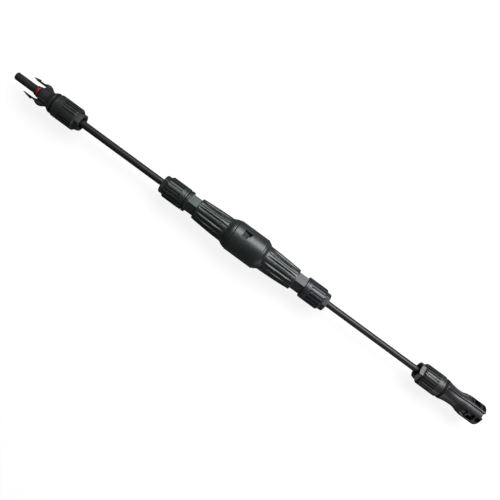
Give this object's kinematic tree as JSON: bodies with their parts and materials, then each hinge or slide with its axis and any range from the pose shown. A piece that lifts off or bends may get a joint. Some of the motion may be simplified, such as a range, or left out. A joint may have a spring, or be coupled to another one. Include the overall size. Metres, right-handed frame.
{
  "type": "solar cable connector with inline fuse",
  "caption": "Inline fuse holder on a short photovoltaic cable, with a locking socket coupler on one end and a pin coupler on the other.",
  "frame": {"origin": "on the cable's axis, at the middle of the fuse holder's smooth collar (x = 0 lies 13 mm from the parting line)", "axes": "+X along the cable towards the pin coupler, +Z away from the surface the cable lies on, Y across"},
  "size_m": [0.4584, 0.027, 0.027],
  "materials": {
    "holder_plastic": "satin moulded",
    "plug_plastic": "satin moulded",
    "holder_nut_plastic": "satin moulded",
    "plug_nut_plastic": "satin moulded",
    "socket_coupler_plastic": "satin moulded",
    "finger_plastic": "satin moulded",
    "pin_coupler_plastic": "satin moulded",
    "coupler_nut_plastic": "satin moulded",
    "collet_plastic": "matte",
    "black_rubber": "matte",
    "red_silicone": "satin",
    "cable_sheath": "satin extruded",
    "cable_insulation": "satin",
    "tinned_copper": "stranded, dull",
    "ceramic": "glazed",
    "quartz_sand": "granular",
    "silver": "rolled",
    "nickel_plate": "plated, satin",
    "tin_plate": "plated, satin",
    "spring_steel": "drawn",
    "beryllium_copper": "stamped"
  },
  "bodies": {
    "socket_half": {"socket_half_body": "holder_plastic", "fuse_clip_socket_side": "tin_plate", "clip_spring_socket_side": "spring_steel", "right_sheath_near": "cable_sheath", "right_insulation_near": "cable_insulation", "right_conductor_near": "tinned_copper"},
    "holder_collet": {"holder_gland_collet": "collet_plastic", "holder_gland_seal": "black_rubber"},
    "holder_nut": {"holder_gland_nut": "holder_nut_plastic"},
    "fuse": {"fuse_tube": "ceramic", "fuse_cap_plug_side": "nickel_plate", "fuse_cap_socket_side": "nickel_plate", "fuse_element": "silver", "fuse_sand": "quartz_sand"},
    "plug_half": {"plug_half_body": "plug_plastic", "holder_o_ring": "black_rubber", "fuse_clip_plug_side": "tin_plate", "clip_spring_plug_side": "spring_steel", "left_sheath_near": "cable_sheath", "left_insulation_near": "cable_insulation", "left_conductor_near": "tinned_copper"},
    "latch_upper": {"latch_tongue_upper": "plug_plastic"},
    "latch_lower": {"latch_tongue_lower": "plug_plastic"},
    "plug_collet": {"plug_gland_collet": "collet_plastic", "plug_gland_seal": "black_rubber"},
    "plug_nut": {"plug_gland_nut": "plug_nut_plastic"},
    "left_cable": {"left_sheath_mid": "cable_sheath", "left_insulation_mid": "cable_insulation", "left_conductor_mid": "tinned_copper"},
    "socket_coupler": {"socket_coupler_body": "socket_coupler_plastic", "probe_o_ring": "red_silicone", "socket_contact": "tin_plate", "contact_spring_band": "beryllium_copper", "socket_gland_ring": "black_rubber", "left_sheath_far": "cable_sheath", "left_insulation_far": "cable_insulation", "left_conductor_far": "tinned_copper"},
    "finger_left": {"locking_finger_left": "finger_plastic"},
    "finger_right": {"locking_finger_right": "finger_plastic"},
    "socket_collet": {"socket_gland_collet": "collet_plastic", "socket_gland_seal": "black_rubber"},
    "socket_nut": {"socket_gland_nut": "coupler_nut_plastic"},
    "right_cable": {"right_sheath_mid": "cable_sheath", "right_insulation_mid": "cable_insulation", "right_conductor_mid": "tinned_copper"},
    "pin_coupler": {"pin_coupler_body": "pin_coupler_plastic", "pin_contact": "tin_plate", "pin_gland_ring": "black_rubber", "right_sheath_far": "cable_sheath", "right_insulation_far": "cable_insulation", "right_conductor_far": "tinned_copper"},
    "pin_collet": {"pin_gland_collet": "collet_plastic", "pin_gland_seal": "black_rubber"},
    "pin_nut": {"pin_gland_nut": "coupler_nut_plastic"}
  },
  "joints": [
    {"name": "fuse_slide", "type": "slide", "parent": "socket_half", "child": "fuse", "axis": [-1, 0, 0], "range_m": [0, 0.06], "deforming": ["latch_tongue_upper", "latch_tongue_lower"]},
    {"name": "plug_slide", "type": "slide", "parent": "fuse", "child": "plug_half", "axis": [-1, 0, 0], "range_m": [0, 0.058], "deforming": ["latch_tongue_upper", "latch_tongue_lower"]},
    {"name": "latch_upper_press", "type": "hinge", "parent": "plug_half", "child": "latch_upper", "pos_m": [-0.0126, 0.00453, 0.00852], "axis": [0, 0.8829, -0.4695], "range_deg": [0, 10]},
    {"name": "latch_lower_press", "type": "hinge", "parent": "plug_half", "child": "latch_lower", "pos_m": [-0.0126, -0.00453, -0.00852], "axis": [0, -0.8829, 0.4695], "range_deg": [0, 10]},
    {"name": "finger_left_press", "type": "hinge", "parent": "socket_coupler", "child": "finger_left", "pos_m": [-0.1945, 0.00587, 0.00062], "axis": [0, -0.1045, 0.9945], "range_deg": [0, 5]},
    {"name": "finger_right_press", "type": "hinge", "parent": "socket_coupler", "child": "finger_right", "pos_m": [-0.1945, -0.00587, -0.00062], "axis": [0, 0.1045, -0.9945], "range_deg": [0, 5]},
    {"name": "left_cable_bend", "type": "hinge", "parent": "plug_half", "child": "left_cable", "pos_m": [-0.1089, 0, 0], "axis": [0, 0, 1], "range_deg": [-25, 25]},
    {"name": "left_cable_bend_far", "type": "hinge", "parent": "left_cable", "child": "socket_coupler", "pos_m": [-0.1357, 0, 0], "axis": [0, 0, 1], "range_deg": [-25, 25]},
    {"name": "right_cable_bend", "type": "hinge", "parent": "socket_half", "child": "right_cable", "pos_m": [0.1097, 0, 0], "axis": [0, 0, 1], "range_deg": [-25, 25]},
    {"name": "right_cable_bend_far", "type": "hinge", "parent": "right_cable", "child": "pin_coupler", "pos_m": [0.1397, 0, 0], "axis": [0, 0, 1], "range_deg": [-25, 25]},
    {"name": "holder_nut_travel", "type": "slide", "parent": "socket_half", "child": "holder_collet", "axis": [1, 0, 0], "range_m": [0, 0.006]},
    {"name": "holder_nut_turn", "type": "hinge", "parent": "holder_collet", "child": "holder_nut", "pos_m": [0.0673, 0, 0], "axis": [1, 0, 0], "range_deg": [0, 1440.1]},
    {"name": "plug_nut_travel", "type": "slide", "parent": "plug_half", "child": "plug_collet", "axis": [-1, 0, 0], "range_m": [0, 0.006]},
    {"name": "plug_nut_turn", "type": "hinge", "parent": "plug_collet", "child": "plug_nut", "pos_m": [-0.0697, 0, 0], "axis": [-1, 0, 0], "range_deg": [0, 1440.1]},
    {"name": "socket_nut_travel", "type": "slide", "parent": "socket_coupler", "child": "socket_collet", "axis": [1, 0, 0], "range_m": [0, 0.006]},
    {"name": "socket_nut_turn", "type": "hinge", "parent": "socket_collet", "child": "socket_nut", "pos_m": [-0.1771, 0, 0], "axis": [1, 0, 0], "range_deg": [0, 1440.1]},
    {"name": "pin_nut_travel", "type": "slide", "parent": "pin_coupler", "child": "pin_collet", "axis": [-1, 0, 0], "range_m": [0, 0.006]},
    {"name": "pin_nut_turn", "type": "hinge", "parent": "pin_collet", "child": "pin_nut", "pos_m": [0.1821, 0, 0], "axis": [-1, 0, 0], "range_deg": [0, 1440.1]}
  ],
  "couplings": [
    {"joint": "left_cable_bend_far", "follows": "left_cable_bend", "ratio": 1},
    {"joint": "right_cable_bend_far", "follows": "right_cable_bend", "ratio": 1},
    {"joint": "holder_nut_turn", "follows": "holder_nut_travel", "rad_per_m": 4188.8},
    {"joint": "plug_nut_turn", "follows": "plug_nut_travel", "rad_per_m": 4188.8},
    {"joint": "socket_nut_turn", "follows": "socket_nut_travel", "rad_per_m": 4188.8},
    {"joint": "pin_nut_turn", "follows": "pin_nut_travel", "rad_per_m": 4188.8}
  ]
}
